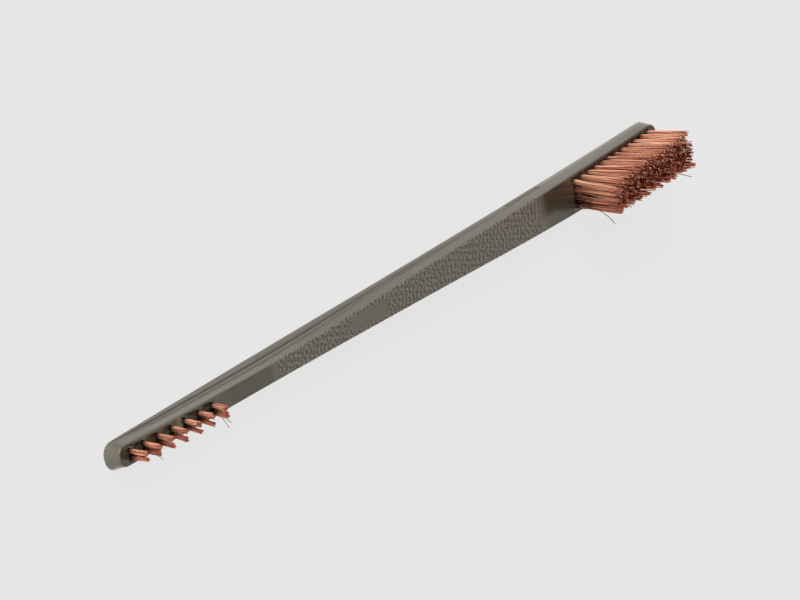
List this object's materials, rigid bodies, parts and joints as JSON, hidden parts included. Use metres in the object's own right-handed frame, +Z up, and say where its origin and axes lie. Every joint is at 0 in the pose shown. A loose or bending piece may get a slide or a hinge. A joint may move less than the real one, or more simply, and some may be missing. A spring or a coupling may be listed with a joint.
{
  "type": "copper cleaning brush",
  "caption": "Slim double-ended hand brush: one-piece nylon handle with a dense block of copper wire tufts at one end and short paired tufts at the other.",
  "frame": {"origin": "on the bench under the middle of the brush's length, with the brush lying on its back", "axes": "+X along the handle towards the head, +Z up out of the bristle face, +Y to the left seen from the small end"},
  "size_m": [0.178, 0.009, 0.0173],
  "materials": {
    "nylon": "moulded dark olive-brown nylon, semi-gloss",
    "copper_wire": null,
    "anchor_wire": "plain flat wire"
  },
  "bodies": {
    "root": {"handle": "nylon", "head_tuft_column_01": "copper_wire", "head_tuft_column_02": "copper_wire", "head_tuft_column_03": "copper_wire", "head_tuft_column_04": "copper_wire", "head_tuft_column_05": "copper_wire", "head_tuft_column_06": "copper_wire", "head_tuft_column_07": "copper_wire", "head_tuft_column_08": "copper_wire", "head_tuft_column_09": "copper_wire", "head_tuft_column_10": "copper_wire", "head_tuft_column_11": "copper_wire", "head_tuft_column_12": "copper_wire", "head_anchor_01": "anchor_wire", "head_anchor_02": "anchor_wire", "head_anchor_03": "anchor_wire", "head_anchor_04": "anchor_wire", "head_anchor_05": "anchor_wire", "head_anchor_06": "anchor_wire", "head_anchor_07": "anchor_wire", "head_anchor_08": "anchor_wire", "head_anchor_09": "anchor_wire", "head_anchor_10": "anchor_wire", "head_anchor_11": "anchor_wire", "head_anchor_12": "anchor_wire", "detail_tuft_left_1": "copper_wire", "detail_tuft_left_2": "copper_wire", "detail_tuft_left_3": "copper_wire", "detail_tuft_left_4": "copper_wire", "detail_tuft_left_5": "copper_wire", "detail_tuft_left_6": "copper_wire", "detail_tuft_left_7": "copper_wire", "detail_tuft_right_1": "copper_wire", "detail_tuft_right_2": "copper_wire", "detail_tuft_right_3": "copper_wire", "detail_tuft_right_4": "copper_wire", "detail_tuft_right_5": "copper_wire", "detail_tuft_right_6": "copper_wire", "detail_tuft_right_7": "copper_wire", "detail_anchor_left_1": "anchor_wire", "detail_anchor_left_2": "anchor_wire", "detail_anchor_left_3": "anchor_wire", "detail_anchor_left_4": "anchor_wire", "detail_anchor_left_5": "anchor_wire", "detail_anchor_left_6": "anchor_wire", "detail_anchor_left_7": "anchor_wire", "detail_anchor_right_1": "anchor_wire", "detail_anchor_right_2": "anchor_wire", "detail_anchor_right_3": "anchor_wire", "detail_anchor_right_4": "anchor_wire", "detail_anchor_right_5": "anchor_wire", "detail_anchor_right_6": "anchor_wire", "detail_anchor_right_7": "anchor_wire"}
  },
  "joints": []
}
